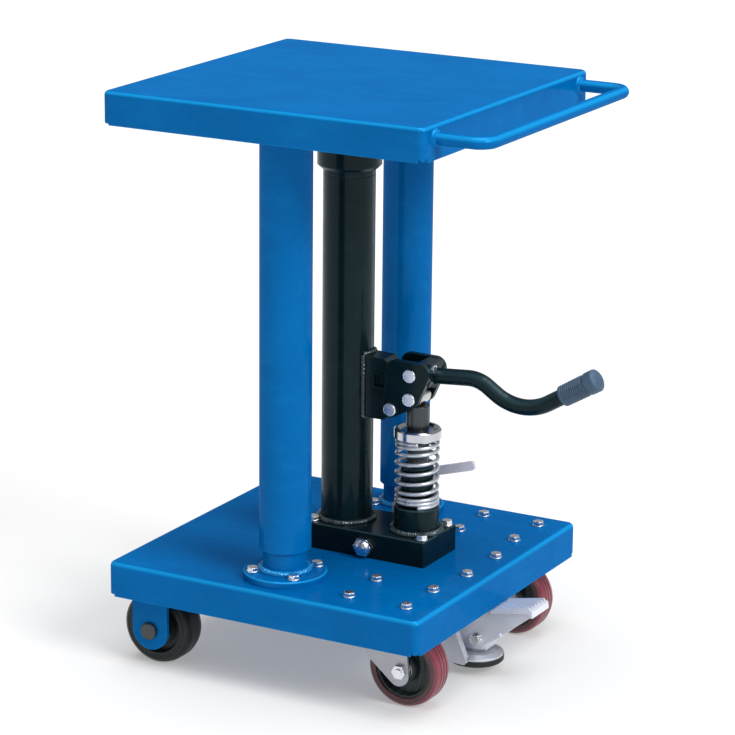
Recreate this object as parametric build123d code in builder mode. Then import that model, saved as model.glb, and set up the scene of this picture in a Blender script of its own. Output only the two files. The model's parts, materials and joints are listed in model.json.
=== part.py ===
"""Two-post hydraulic lift table: a platform raised by a foot pump on a four-wheel base.

Millimetres.  +X points to the operator (pedal, swivel casters and handle), +Y runs from
the near guide post to the far one, +Z is up.  The origin is on the floor under the ram.
"""
from build123d import *
from math import atan2, cos, sin
import os

os.makedirs("parts", exist_ok=True)

# ---- driving dimensions -------------------------------------------------------------
TABLE = 456.0  # side of the square platform and of the square base
HALF = TABLE / 2
SHEET_CORNER = 10.0  # vertical corner radius of both trays
SKIRT_END_RADIUS = 9.0  # rounding of the skirts' lower corners

PLATFORM_TOP = 761.0
PLATFORM_SKIRT = 43.3
PLATFORM_SHEET = 4.0
PLATFORM_UNDER = PLATFORM_TOP - PLATFORM_SHEET

DECK_TOP = 141.0
DECK_SKIRT = 46.8
DECK_SHEET = 5.0
DECK_UNDER = DECK_TOP - DECK_SHEET

POST_Y = 160.9  # half the distance between the guide posts
POST_RADIUS = 28.5
POST_TOP = 700.0
SLEEVE_RADIUS = 33.5
SLEEVE_BORE = 29.5
SLEEVE_BOTTOM = 180.0
FIT = 0.05  # radial clearance of every running fit

FLANGE_RADIUS = 54.0
FLANGE_TOP = DECK_TOP + 10.0
FLANGE_BOLT_OFFSET = 30.4

BLOCK_REAR, BLOCK_FRONT, BLOCK_HALF_WIDTH = -42.0, 139.5, 46.0
BLOCK_TOP = DECK_TOP + 35.0
BLOCK_BOLTS = [(131.0, -35.0), (131.0, 35.0), (-30.0, -36.0), (-30.0, 36.0)]

CYLINDER_RADIUS, CYLINDER_BORE, CYLINDER_TOP = 34.0, 29.0, 690.0
GLAND_RADIUS, GLAND_BOTTOM, GLAND_TOP = 41.75, 648.0, 700.0
RAM_RADIUS, RAM_BOTTOM, RAM_TOP = 22.5, 226.0, 735.0

PUMP_X = 104.5
PUMP_SEAT_RADIUS, PUMP_SEAT_TOP = 30.0, 210.0
PUMP_NECK_RADIUS, PUMP_NECK_TOP = 21.5, 265.0
PISTON_RADIUS, PISTON_BOTTOM, PISTON_TOP = 14.0, 196.0, 345.8
SPRING_RADIUS, SPRING_WIRE, SPRING_PITCH = 26.75, 2.5, 13.4
SPRING_CAP_RADIUS, SPRING_CAP_BOTTOM, SPRING_CAP_TOP = 31.0, 301.0, 315.0

FULCRUM = (77.0, 341.0)  # XZ of the foot lever's pivot
ROLLER = (104.5, 358.0)  # XZ of the roller that presses the pump piston
CLAMP = (105.0, 390.0)  # XZ of the bolt that holds the pedal tube
ROLLER_RADIUS = 12.0
PIN_RADIUS = 6.0
CHEEK_INNER, CHEEK_OUTER = 17.0, 25.0
PEDAL_TUBE_RADIUS = 10.5
PEDAL_ROUTE = [(108.0, 386.3), (191.7, 393.0), (253.0, 352.1), (356.0, 414.9)]
PEDAL_BENDS = [45.0, 69.0]
GRIP_LENGTH = 57.0

RELEASE_PIVOT = (45.0, 163.0)  # XZ of the lowering valve's spindle
RELEASE_ROUTE = [RELEASE_PIVOT, (46.0, 184.0), (104.0, 241.0), (156.0, 256.0)]
RELEASE_INNER, RELEASE_OUTER = 52.0, 57.0

WHEEL_RADIUS = 50.0
SWIVEL_X, SWIVEL_Y = 150.0, 151.5
SWIVEL_TRAIL = 27.0
SWIVEL_BOLT_DX, SWIVEL_BOLT_DY = 41.0, 36.0
SWIVEL_WHEEL_HALF = 18.0
FORK_INNER, FORK_OUTER = 21.0, 24.5
FORK_TOP = 120.0
PLATE_THICKNESS = 4.0
KINGPIN_RADIUS = 6.0
AXLE_RADIUS = 5.0

RIGID_X, RIGID_Y = -174.4, 178.0
RIGID_WHEEL_HALF = 19.0
RIGID_EAR_INNER, RIGID_EAR_OUTER = 28.0, 34.0
RIGID_AXLE_RADIUS = 6.0

LOCK_X = 195.0
LOCK_BOLTS = [(201.0, -41.0), (201.0, 41.0)]
LOCK_CHEEK_INNER, LOCK_CHEEK_OUTER = 38.5, 42.5
LOCK_PIVOT = (165.0, 75.0)
LOCK_DRIVE = (206.0, 49.0)  # XZ of the pin that pushes the foot down
LOCK_PEDAL_INNER, LOCK_PEDAL_OUTER = 17.5, 21.5
LOCK_PAD_BOTTOM, LOCK_PAD_TOP, LOCK_PAD_RADIUS = 13.0, 21.0, 37.0
LOCK_STEM_RADIUS = 9.0

M8 = {"shank": 4.0, "flats": 13.0, "head": 5.3, "nut": 6.5, "hole": 4.5, "washer": 1.6, "collar": 8.0}

SIDES = (("near", -1), ("far", 1))
FLANGE_BOLTS = [
    (sx * FLANGE_BOLT_OFFSET, side * POST_Y + sy * FLANGE_BOLT_OFFSET)
    for _, side in SIDES for sx in (-1, 1) for sy in (-1, 1)
]
CASTER_BOLTS = [
    (SWIVEL_X + sx * SWIVEL_BOLT_DX, side * SWIVEL_Y + sy * SWIVEL_BOLT_DY)
    for _, side in SIDES for sx in (-1, 1) for sy in (-1, 1)
]


# ---- shared operations --------------------------------------------------------------
def save(piece, node):
    """Label a finished piece and write it as its own STEP file."""
    piece.part.label = node
    export_step(piece.part, f"parts/{node}.step")


def profile_plane(origin, axis, radial):
    """Plane whose local x is the radius and whose local y runs along the turning axis."""
    return Plane(origin=origin, x_dir=radial, z_dir=Vector(*radial).cross(Vector(*axis)))


def turn(points, origin=(0, 0, 0), axis=(0, 0, 1), radial=(1, 0, 0), mode=Mode.ADD):
    """Revolve a closed outline of (radius, distance along the axis) points."""
    with BuildSketch(profile_plane(origin, axis, radial)) as outline:
        with BuildLine():
            Polyline(*points, close=True)
        make_face()
    revolve(outline.sketch, axis=Axis(origin, axis), mode=mode)


def turn_z(points, x=0.0, y=0.0, mode=Mode.ADD):
    """Revolve (radius, height) points about a vertical axis."""
    turn(points, (x, y, 0), (0, 0, 1), (1, 0, 0), mode)


def turn_y(points, x, z, mode=Mode.ADD):
    """Revolve (radius, y) points about an axis parallel to Y."""
    turn(points, (x, 0, z), (0, 1, 0), (0, 0, 1), mode)


def ring(inner, outer, low, high):
    """Outline of a plain ring for turn, turn_z and turn_y."""
    return [(inner, low), (outer, low), (outer, high), (inner, high)]


def pin(x, z, radius, low, high):
    """Plain round pin along Y, from y = low to y = high."""
    with BuildSketch(Plane.XZ.offset(-low)) as section:
        with Locations((x, z)):
            Circle(radius)
    extrude(section.sketch, amount=low - high)


def pin_hole(x, z, radius):
    """Cut a round hole along the whole of Y."""
    with BuildSketch(Plane.XZ) as section:
        with Locations((x, z)):
            Circle(radius)
    extrude(section.sketch, amount=TABLE, both=True, mode=Mode.SUBTRACT)


def both_sides(inner, outer, centre=0.0):
    """The two (low, high) stretches of Y at inner..outer either side of a centre plane."""
    return [(centre + inner, centre + outer), (centre - outer, centre - inner)]


def hull_plate(circles, low, high):
    """Plate from y = low to y = high with the convex outline of (x, z, radius) circles."""
    with BuildSketch(Plane.XZ.offset(-low)) as outline:
        with BuildLine() as arcs:
            for x, z, radius in circles:
                CenterArc((x, z), radius, 0, 360)
        make_hull(arcs.edges())
    extrude(outline.sketch, amount=low - high)


def outline_plate(points, low, high):
    """Plate from y = low to y = high with a straight-sided (x, z) outline."""
    with BuildSketch(Plane.XZ.offset(-low)) as outline:
        with BuildLine():
            Polyline(*points, close=True)
        make_face()
    extrude(outline.sketch, amount=low - high)


def hex_prisms(positions, seat, flats, height):
    """Hexagonal heads or nuts with one face on a horizontal seat."""
    with BuildSketch(Plane.XY.offset(seat)) as hexagons:
        with Locations(*positions):
            RegularPolygon(flats / 2, 6, major_radius=False)
    extrude(hexagons.sketch, amount=height)


def bolt_set(positions, seat, length, size):
    """Hex bolts with washer faces on one seat and their shanks pointing down."""
    with BuildPart() as bolts:
        hex_prisms(positions, seat + size["washer"], size["flats"], size["head"])
        chamfer(bolts.faces().group_by(Axis.Z)[-1].edges(), 0.9)
        with BuildSketch(Plane.XY.offset(seat)):
            with Locations(*positions):
                Circle(size["collar"])
        extrude(amount=size["washer"])
        with BuildSketch(Plane.XY.offset(seat)):
            with Locations(*positions):
                Circle(size["shank"])
        extrude(amount=-length)
    return bolts


def nut_set(positions, seat, size):
    """Hex nuts under a horizontal seat."""
    with BuildPart() as nuts:
        hex_prisms(positions, seat, size["flats"], -size["nut"])
        chamfer(nuts.faces().group_by(Axis.Z)[0].edges(), 0.9)
        with BuildSketch(Plane.XY.offset(seat)):
            with Locations(*positions):
                Circle(size["shank"])
        extrude(amount=-size["nut"], mode=Mode.SUBTRACT)
    return nuts


def drill_z(positions, radius, top, depth):
    """Vertical holes cut down from a height."""
    with BuildSketch(Plane.XY.offset(top)) as circles:
        with Locations(*positions):
            Circle(radius)
    extrude(circles.sketch, amount=-depth, mode=Mode.SUBTRACT)


def tray(top, skirt, sheet):
    """Square sheet tray, open below, with bent edges and rounded skirt corners."""
    bend_radius = sheet + 1.7
    bottom = top - skirt
    with BuildPart() as shell:
        with BuildSketch(Plane.XY.offset(bottom)):
            RectangleRounded(TABLE, TABLE, SHEET_CORNER)
        extrude(amount=skirt)
        fillet(shell.faces().sort_by(Axis.Z)[-1].edges(), bend_radius)
        offset(amount=-sheet, openings=shell.faces().sort_by(Axis.Z)[0])
        for quarter in range(4):
            normal = Vector(1, 0, 0).rotate(Axis.Z, 90 * quarter)
            along = Vector(0, 1, 0).rotate(Axis.Z, 90 * quarter)
            side = Plane(origin=normal * (HALF - SHEET_CORNER), x_dir=along, z_dir=normal)
            with BuildSketch(side):
                for end in (-1, 1):
                    with Locations((end * (HALF - SKIRT_END_RADIUS / 2), bottom + SKIRT_END_RADIUS / 2)):
                        Rectangle(SKIRT_END_RADIUS, SKIRT_END_RADIUS)
                    with Locations((end * (HALF - SKIRT_END_RADIUS), bottom + SKIRT_END_RADIUS)):
                        Circle(SKIRT_END_RADIUS, mode=Mode.SUBTRACT)
            extrude(amount=SHEET_CORNER + 1, mode=Mode.SUBTRACT)
    return shell


# ---- base: deck, ribs and their fasteners -------------------------------------------
RIB_X = (-100.0, 70.0)
RIB_THICKNESS, RIB_DEPTH = 6.0, 36.0
RIB_END_GAP = 2.0

with BuildPart() as base_deck:
    add(tray(DECK_TOP, DECK_SKIRT, DECK_SHEET).part)
    drill_z(FLANGE_BOLTS + CASTER_BOLTS + LOCK_BOLTS + BLOCK_BOLTS, M8["hole"], DECK_TOP, DECK_SHEET)
save(base_deck, "base_deck")

with BuildPart() as base_ribs:
    with BuildSketch(Plane.XY.offset(DECK_UNDER)):
        with Locations(*[(x, 0) for x in RIB_X]):
            Rectangle(RIB_THICKNESS, TABLE - 2 * (DECK_SHEET + RIB_END_GAP))
    extrude(amount=-RIB_DEPTH)
save(base_ribs, "base_ribs")

# The front pair of pump block bolts also holds the rear of the floor lock's plate.
with BuildPart() as m8_bolts:
    add(bolt_set(FLANGE_BOLTS, FLANGE_TOP, FLANGE_TOP - 128.0, M8).part)
    add(bolt_set(CASTER_BOLTS + LOCK_BOLTS, DECK_TOP, DECK_TOP - 124.5, M8).part)
save(m8_bolts, "m8_bolts")

with BuildPart() as m8_nuts:
    add(nut_set(FLANGE_BOLTS + BLOCK_BOLTS[2:], DECK_UNDER, M8).part)
    add(nut_set(CASTER_BOLTS + LOCK_BOLTS + BLOCK_BOLTS[:2], DECK_UNDER - PLATE_THICKNESS, M8).part)
save(m8_nuts, "m8_nuts")

with BuildPart() as block_bolts:
    add(bolt_set(BLOCK_BOLTS[:2], BLOCK_TOP, BLOCK_TOP - 124.5, M8).part)
    add(bolt_set(BLOCK_BOLTS[2:], BLOCK_TOP, BLOCK_TOP - 128.0, M8).part)
save(block_bolts, "block_bolts")

# ---- guide posts on the base --------------------------------------------------------
POST_WELD = 6.0
POST_BUSH_LENGTH = 30.0

with BuildPart() as post_flanges:
    for _, side in SIDES:
        turn_z(
            [(POST_RADIUS, DECK_TOP), (FLANGE_RADIUS, DECK_TOP), (FLANGE_RADIUS, FLANGE_TOP - 1.5),
             (FLANGE_RADIUS - 1.5, FLANGE_TOP), (POST_RADIUS + POST_WELD, FLANGE_TOP),
             (POST_RADIUS, FLANGE_TOP + POST_WELD)],
            y=side * POST_Y,
        )
    drill_z(FLANGE_BOLTS, M8["hole"], FLANGE_TOP, FLANGE_TOP - DECK_TOP)
save(post_flanges, "post_flanges")

POST_BUSH_SEAT = 1.0
with BuildPart() as guide_posts:
    for _, side in SIDES:
        turn_z(
            [(POST_RADIUS - 5, DECK_TOP), (POST_RADIUS, DECK_TOP),
             (POST_RADIUS, POST_TOP - POST_BUSH_LENGTH),
             (POST_RADIUS - POST_BUSH_SEAT, POST_TOP - POST_BUSH_LENGTH),
             (POST_RADIUS - POST_BUSH_SEAT, POST_TOP), (POST_RADIUS - 5, POST_TOP)],
            y=side * POST_Y,
        )
save(guide_posts, "guide_posts")

with BuildPart() as post_bushes:
    for _, side in SIDES:
        turn_z(
            ring(POST_RADIUS - POST_BUSH_SEAT, SLEEVE_BORE - FIT, POST_TOP - POST_BUSH_LENGTH, POST_TOP),
            y=side * POST_Y,
        )
save(post_bushes, "post_bushes")

# ---- hydraulic block and lifting cylinder -------------------------------------------
VALVE_CAP_X, VALVE_CAP_Z, VALVE_BORE = 52.5, 157.0, 8.0
RELEASE_BORE = 9.0
PISTON_BORE_BOTTOM = 150.0

with BuildPart() as pump_block:
    with BuildSketch(Plane.XY.offset(DECK_TOP)):
        with Locations(((BLOCK_REAR + BLOCK_FRONT) / 2, 0)):
            Rectangle(BLOCK_FRONT - BLOCK_REAR, 2 * BLOCK_HALF_WIDTH)
    extrude(amount=BLOCK_TOP - DECK_TOP)
    fillet(pump_block.edges().filter_by(Axis.Z), 3)
    chamfer(pump_block.faces().sort_by(Axis.Z)[-1].edges(), 1.5)
    drill_z([(0, 0)], CYLINDER_BORE, BLOCK_TOP, 12)
    drill_z([(PUMP_X, 0)], PISTON_RADIUS + FIT, BLOCK_TOP, BLOCK_TOP - PISTON_BORE_BOTTOM)
    drill_z(BLOCK_BOLTS, M8["hole"], BLOCK_TOP, BLOCK_TOP - DECK_TOP)
    with BuildSketch(Plane.XZ.offset(BLOCK_HALF_WIDTH)):
        with Locations((VALVE_CAP_X, VALVE_CAP_Z)):
            Circle(VALVE_BORE)
    extrude(amount=-24, mode=Mode.SUBTRACT)
    with BuildSketch(Plane.XZ.offset(-BLOCK_HALF_WIDTH)):
        with Locations(RELEASE_PIVOT):
            Circle(RELEASE_BORE)
    extrude(amount=24, mode=Mode.SUBTRACT)
save(pump_block, "pump_block")

with BuildPart() as relief_valve_cap:
    with BuildSketch(Plane.XZ.offset(BLOCK_HALF_WIDTH)):
        with Locations((VALVE_CAP_X, VALVE_CAP_Z)):
            RegularPolygon(11.5, 6, major_radius=False)
    extrude(amount=8)
    turn_y(
        [(0, -BLOCK_HALF_WIDTH + 20), (VALVE_BORE, -BLOCK_HALF_WIDTH + 20), (VALVE_BORE, -BLOCK_HALF_WIDTH),
         (10, -BLOCK_HALF_WIDTH), (10, -BLOCK_HALF_WIDTH - 8), (8, -BLOCK_HALF_WIDTH - 11),
         (4, -BLOCK_HALF_WIDTH - 13), (0, -BLOCK_HALF_WIDTH - 13.5)],
        VALVE_CAP_X, VALVE_CAP_Z,
    )
save(relief_valve_cap, "relief_valve_cap")

CYLINDER_WELD = 4.5
GROOVE_Z = 640.0
with BuildPart() as cylinder_tube:
    turn_z(
        [(CYLINDER_BORE, BLOCK_TOP), (CYLINDER_RADIUS + CYLINDER_WELD, BLOCK_TOP),
         (CYLINDER_RADIUS + CYLINDER_WELD * 0.75, BLOCK_TOP + CYLINDER_WELD * 0.75),
         (CYLINDER_RADIUS, BLOCK_TOP + CYLINDER_WELD), (CYLINDER_RADIUS, GROOVE_Z),
         (CYLINDER_RADIUS - 0.5, GROOVE_Z), (CYLINDER_RADIUS - 0.5, GROOVE_Z + 1.5),
         (CYLINDER_RADIUS, GROOVE_Z + 1.5), (CYLINDER_RADIUS, CYLINDER_TOP), (CYLINDER_BORE, CYLINDER_TOP)]
    )
save(cylinder_tube, "cylinder_tube")

WIPER_DEPTH, WIPER_WIDTH = 5.0, 5.0
GLAND_BUSH_BOTTOM = 672.0
with BuildPart() as cylinder_gland:
    turn_z(
        [(CYLINDER_RADIUS, GLAND_BOTTOM), (GLAND_RADIUS - 4.5, GLAND_BOTTOM),
         (GLAND_RADIUS, GLAND_BOTTOM + 4.5),
         (GLAND_RADIUS, GLAND_TOP - 2), (GLAND_RADIUS - 2, GLAND_TOP),
         (RAM_RADIUS + WIPER_WIDTH, GLAND_TOP), (RAM_RADIUS + WIPER_WIDTH, GLAND_TOP - WIPER_DEPTH),
         (RAM_RADIUS + FIT, GLAND_TOP - WIPER_DEPTH), (RAM_RADIUS + FIT, CYLINDER_TOP),
         (CYLINDER_RADIUS, CYLINDER_TOP)]
    )
save(cylinder_gland, "cylinder_gland")

with BuildPart() as gland_bush:
    turn_z(ring(RAM_RADIUS + FIT, CYLINDER_BORE, GLAND_BUSH_BOTTOM, CYLINDER_TOP))
save(gland_bush, "gland_bush")

with BuildPart() as wiper_seal:
    turn_z(
        [(RAM_RADIUS + FIT, GLAND_TOP - WIPER_DEPTH), (RAM_RADIUS + WIPER_WIDTH, GLAND_TOP - WIPER_DEPTH),
         (RAM_RADIUS + WIPER_WIDTH, GLAND_TOP), (RAM_RADIUS + 1.5, GLAND_TOP + 2),
         (RAM_RADIUS + FIT, GLAND_TOP + 2)]
    )
save(wiper_seal, "wiper_seal")

# ---- foot pump ----------------------------------------------------------------------
PUMP_WELD = 5.0
PUMP_SEAL_DEPTH, PUMP_SEAL_WIDTH = 5.0, 4.0
with BuildPart() as pump_barrel:
    turn_z(
        [(PISTON_RADIUS + FIT, BLOCK_TOP), (PUMP_SEAT_RADIUS + PUMP_WELD, BLOCK_TOP),
         (PUMP_SEAT_RADIUS + PUMP_WELD * 0.75, BLOCK_TOP + PUMP_WELD * 0.75),
         (PUMP_SEAT_RADIUS, BLOCK_TOP + PUMP_WELD), (PUMP_SEAT_RADIUS, PUMP_SEAT_TOP - 1.5),
         (PUMP_SEAT_RADIUS - 1.5, PUMP_SEAT_TOP), (PUMP_NECK_RADIUS, PUMP_SEAT_TOP),
         (PUMP_NECK_RADIUS, PUMP_NECK_TOP - 2), (PUMP_NECK_RADIUS - 2, PUMP_NECK_TOP),
         (PISTON_RADIUS + PUMP_SEAL_WIDTH, PUMP_NECK_TOP),
         (PISTON_RADIUS + PUMP_SEAL_WIDTH, PUMP_NECK_TOP - PUMP_SEAL_DEPTH),
         (PISTON_RADIUS + FIT, PUMP_NECK_TOP - PUMP_SEAL_DEPTH)],
        x=PUMP_X,
    )
save(pump_barrel, "pump_barrel")

with BuildPart() as pump_seal:
    turn_z(
        ring(PISTON_RADIUS + FIT, PISTON_RADIUS + PUMP_SEAL_WIDTH,
             PUMP_NECK_TOP - PUMP_SEAL_DEPTH, PUMP_NECK_TOP + 1),
        x=PUMP_X,
    )
save(pump_seal, "pump_seal")

PISTON_NECK_Z = 318.0
with BuildPart() as pump_piston:
    turn_z(
        [(0, PISTON_BOTTOM), (PISTON_RADIUS, PISTON_BOTTOM), (PISTON_RADIUS, PISTON_NECK_Z),
         (PISTON_RADIUS + 1, PISTON_NECK_Z), (PISTON_RADIUS + 1, PISTON_TOP - 1),
         (PISTON_RADIUS, PISTON_TOP), (0, PISTON_TOP)],
        x=PUMP_X,
    )
save(pump_piston, "pump_piston")

with BuildPart() as spring_cap:
    turn_z(
        [(PISTON_RADIUS, SPRING_CAP_BOTTOM), (SPRING_CAP_RADIUS - 1.5, SPRING_CAP_BOTTOM),
         (SPRING_CAP_RADIUS, SPRING_CAP_BOTTOM + 1.5), (SPRING_CAP_RADIUS, SPRING_CAP_TOP - 2),
         (SPRING_CAP_RADIUS - 2, SPRING_CAP_TOP), (SPRING_CAP_RADIUS - 5, SPRING_CAP_TOP),
         (SPRING_CAP_RADIUS - 8, SPRING_CAP_TOP - 4), (PISTON_RADIUS, SPRING_CAP_TOP - 4)],
        x=PUMP_X,
    )
save(spring_cap, "spring_cap")

SPRING_GAP = 0.2
SPRING_START = PUMP_SEAT_TOP + SPRING_WIRE + SPRING_GAP
SPRING_HEIGHT = SPRING_CAP_BOTTOM - PUMP_SEAT_TOP - 2 * (SPRING_WIRE + SPRING_GAP)
with BuildPart() as pump_spring:
    with BuildLine():
        coil = Helix(SPRING_PITCH, SPRING_HEIGHT, SPRING_RADIUS, center=(PUMP_X, 0, SPRING_START))
    with BuildSketch(Plane(coil @ 0, z_dir=coil % 0)):
        Circle(SPRING_WIRE)
    sweep(path=coil, is_frenet=True)
save(pump_spring, "pump_spring")

# ---- foot lever, its bracket and roller ---------------------------------------------
BRACKET_HALF = 15.0
BRACKET_RECESS_X, BRACKET_RECESS_Z = 59.0, 373.5
BRACKET_RECESS_WIDTH, BRACKET_RECESS_HEIGHT, BRACKET_RECESS_DEPTH = 24.0, 16.0, 6.0

with BuildPart() as lever_bracket:
    with BuildSketch(Plane.XZ):
        with BuildLine():
            Polyline(
                (20, 322), (62, 322), (70, 330), (FULCRUM[0], 330), (FULCRUM[0] + 11, FULCRUM[1]),
                (FULCRUM[0], 352), (70, 366), (70, 397), (62, 404), (20, 406),
                close=True,
            )
        make_face()
    extrude(amount=BRACKET_HALF, both=True)
    turn_z(ring(0, CYLINDER_RADIUS, 300, 420), mode=Mode.SUBTRACT)
    fillet(lever_bracket.edges().filter_by(Axis.Y).group_by(Axis.X)[-1], 4)
    with Locations(*[(BRACKET_RECESS_X, side * BRACKET_HALF, BRACKET_RECESS_Z) for _, side in SIDES]):
        Box(BRACKET_RECESS_WIDTH, 2 * BRACKET_RECESS_DEPTH, BRACKET_RECESS_HEIGHT, mode=Mode.SUBTRACT)
    pin_hole(*FULCRUM, PIN_RADIUS + FIT)
save(lever_bracket, "lever_bracket")

HEAD_OUTLINE = [(*FULCRUM, 11.0), (*ROLLER, 12.5), (82.0, 396.0, 12.0), (118.0, 393.0, 14.5)]
SOCKET_RADIUS, SOCKET_LENGTH = 15.5, 20.0
SOCKET_FRONT = 131.0
SOCKET_SCREW = (-12.0, 400.0)  # YZ of the set screw in the socket's front face
SCREW_RADIUS, SCREW_LENGTH, SCREW_FLATS, SCREW_HEAD = 3.0, 12.0, 10.0, 4.0
PEDAL_SLOPE = atan2(PEDAL_ROUTE[1][1] - PEDAL_ROUTE[0][1], PEDAL_ROUTE[1][0] - PEDAL_ROUTE[0][0])
PEDAL_DIRECTION = (cos(PEDAL_SLOPE), 0, sin(PEDAL_SLOPE))
PEDAL_UP = (-sin(PEDAL_SLOPE), 0, cos(PEDAL_SLOPE))

with BuildPart() as lever_head:
    for low, high in both_sides(CHEEK_INNER, CHEEK_OUTER):
        hull_plate(HEAD_OUTLINE, low, high)
    with BuildSketch(Plane.XZ):
        with BuildLine():
            Polyline(
                (112, 376), (128, 376), (SOCKET_FRONT, 384), (SOCKET_FRONT, 406), (112, 407), close=True,
            )
        make_face()
    extrude(amount=CHEEK_INNER, both=True)
    turn(
        ring(0, SOCKET_RADIUS, 4, SOCKET_LENGTH),
        (PEDAL_ROUTE[0][0], 0, PEDAL_ROUTE[0][1]), PEDAL_DIRECTION, PEDAL_UP,
    )
    turn(
        ring(0, PEDAL_TUBE_RADIUS, -10, 60),
        (PEDAL_ROUTE[0][0], 0, PEDAL_ROUTE[0][1]), PEDAL_DIRECTION, PEDAL_UP, mode=Mode.SUBTRACT,
    )
    for x, z in (FULCRUM, ROLLER, CLAMP):
        pin_hole(x, z, PIN_RADIUS)
    with BuildSketch(Plane.YZ.offset(SOCKET_FRONT)):
        with Locations(SOCKET_SCREW):
            Circle(SCREW_RADIUS)
    extrude(amount=-SCREW_LENGTH, mode=Mode.SUBTRACT)
save(lever_head, "lever_head")

PIN_HEAD_RADIUS, PIN_HEAD = 9.0, 4.0
with BuildPart() as lever_pins:
    for x, z in (FULCRUM, ROLLER, CLAMP):
        turn_y(
            [(0, CHEEK_OUTER + 3), (PIN_RADIUS + 1, CHEEK_OUTER + 3), (PIN_RADIUS + 2, CHEEK_OUTER + 2),
             (PIN_RADIUS + 2, CHEEK_OUTER), (PIN_RADIUS, CHEEK_OUTER), (PIN_RADIUS, -CHEEK_OUTER),
             (PIN_HEAD_RADIUS, -CHEEK_OUTER), (PIN_HEAD_RADIUS, -CHEEK_OUTER - PIN_HEAD + 1),
             (PIN_HEAD_RADIUS - 1, -CHEEK_OUTER - PIN_HEAD), (0, -CHEEK_OUTER - PIN_HEAD)],
            x, z,
        )
    with BuildSketch(Plane.YZ.offset(SOCKET_FRONT)):
        with Locations(SOCKET_SCREW):
            Circle(SCREW_RADIUS)
    extrude(amount=-SCREW_LENGTH)
    with BuildSketch(Plane.YZ.offset(SOCKET_FRONT)):
        with Locations(SOCKET_SCREW):
            RegularPolygon(SCREW_FLATS / 2, 6, major_radius=False)
    extrude(amount=SCREW_HEAD)
save(lever_pins, "lever_pins")

with BuildPart() as lever_roller:
    turn_y(
        [(PIN_RADIUS + FIT, -14), (ROLLER_RADIUS - 1, -14), (ROLLER_RADIUS, -13), (ROLLER_RADIUS, 13),
         (ROLLER_RADIUS - 1, 14), (PIN_RADIUS + FIT, 14)],
        *ROLLER,
    )
save(lever_roller, "lever_roller")

with BuildPart() as pedal_tube:
    with BuildLine(Plane.XZ):
        route = FilletPolyline(*PEDAL_ROUTE, radius=PEDAL_BENDS)
    with BuildSketch(Plane(route @ 0, z_dir=route % 0)):
        Circle(PEDAL_TUBE_RADIUS)
        Circle(PEDAL_TUBE_RADIUS - 2.5, mode=Mode.SUBTRACT)
    sweep(path=route)
    pin_hole(*CLAMP, PIN_RADIUS)
save(pedal_tube, "pedal_tube")

GRIP_SLOPE = atan2(PEDAL_ROUTE[3][1] - PEDAL_ROUTE[2][1], PEDAL_ROUTE[3][0] - PEDAL_ROUTE[2][0])
with BuildPart() as pedal_grip:
    turn(
        [(PEDAL_TUBE_RADIUS, -GRIP_LENGTH + 6), (PEDAL_TUBE_RADIUS + 1.6, -GRIP_LENGTH + 6),
         (PEDAL_TUBE_RADIUS + 2.6, -GRIP_LENGTH + 9), (PEDAL_TUBE_RADIUS + 3.0, -14),
         (PEDAL_TUBE_RADIUS + 4.2, -8), (PEDAL_TUBE_RADIUS + 4.5, -1), (PEDAL_TUBE_RADIUS + 3, 3.5),
         (PEDAL_TUBE_RADIUS - 1, 6), (0, 7), (0, 0), (PEDAL_TUBE_RADIUS, 0)],
        (PEDAL_ROUTE[3][0], 0, PEDAL_ROUTE[3][1]),
        (cos(GRIP_SLOPE), 0, sin(GRIP_SLOPE)), (-sin(GRIP_SLOPE), 0, cos(GRIP_SLOPE)),
    )
save(pedal_grip, "pedal_grip")

# ---- lowering valve and its lever ---------------------------------------------------
SPINDLE_RADIUS = 4.0
with BuildPart() as release_valve_body:
    turn_y(ring(SPINDLE_RADIUS + FIT, RELEASE_BORE, BLOCK_HALF_WIDTH - 20, BLOCK_HALF_WIDTH), *RELEASE_PIVOT)
    with BuildSketch(Plane.XZ.offset(-BLOCK_HALF_WIDTH)):
        with Locations(RELEASE_PIVOT):
            RegularPolygon(11.0, 6, major_radius=False)
            Circle(SPINDLE_RADIUS + FIT, mode=Mode.SUBTRACT)
    extrude(amount=-5)
save(release_valve_body, "release_valve_body")

with BuildPart() as release_lever:
    for start, end in zip(RELEASE_ROUTE, RELEASE_ROUTE[1:]):
        hull_plate([(*start, 6.0), (*end, 6.0)], RELEASE_INNER, RELEASE_OUTER)
    pin(*RELEASE_PIVOT, 9.0, RELEASE_INNER, RELEASE_OUTER)
    pin_hole(*RELEASE_PIVOT, SPINDLE_RADIUS)
save(release_lever, "release_lever")

with BuildPart() as release_spindle:
    pin(*RELEASE_PIVOT, SPINDLE_RADIUS, BLOCK_HALF_WIDTH - 18, RELEASE_OUTER + 5)
    with BuildSketch(Plane.XZ.offset(-RELEASE_OUTER)):
        with Locations(RELEASE_PIVOT):
            RegularPolygon(6.5, 6, major_radius=False)
    extrude(amount=-5)
save(release_spindle, "release_spindle")

# ---- platform, sleeves and ram ------------------------------------------------------
save(tray(PLATFORM_TOP, PLATFORM_SKIRT, PLATFORM_SHEET), "platform")

PLATFORM_RIB_DEPTH, PLATFORM_RIB = 30.0, 5.0
PLATFORM_RIB_Y, PLATFORM_RIB_X = 80.0, 110.0
with BuildPart() as platform_ribs:
    span = TABLE - 2 * (PLATFORM_SHEET + RIB_END_GAP)
    with BuildSketch(Plane.XY.offset(PLATFORM_UNDER)):
        with Locations((0, -PLATFORM_RIB_Y), (0, PLATFORM_RIB_Y)):
            Rectangle(span, PLATFORM_RIB)
        with Locations((-PLATFORM_RIB_X, 0), (PLATFORM_RIB_X, 0)):
            Rectangle(PLATFORM_RIB, span)
    extrude(amount=-PLATFORM_RIB_DEPTH)
save(platform_ribs, "platform_ribs")

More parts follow.
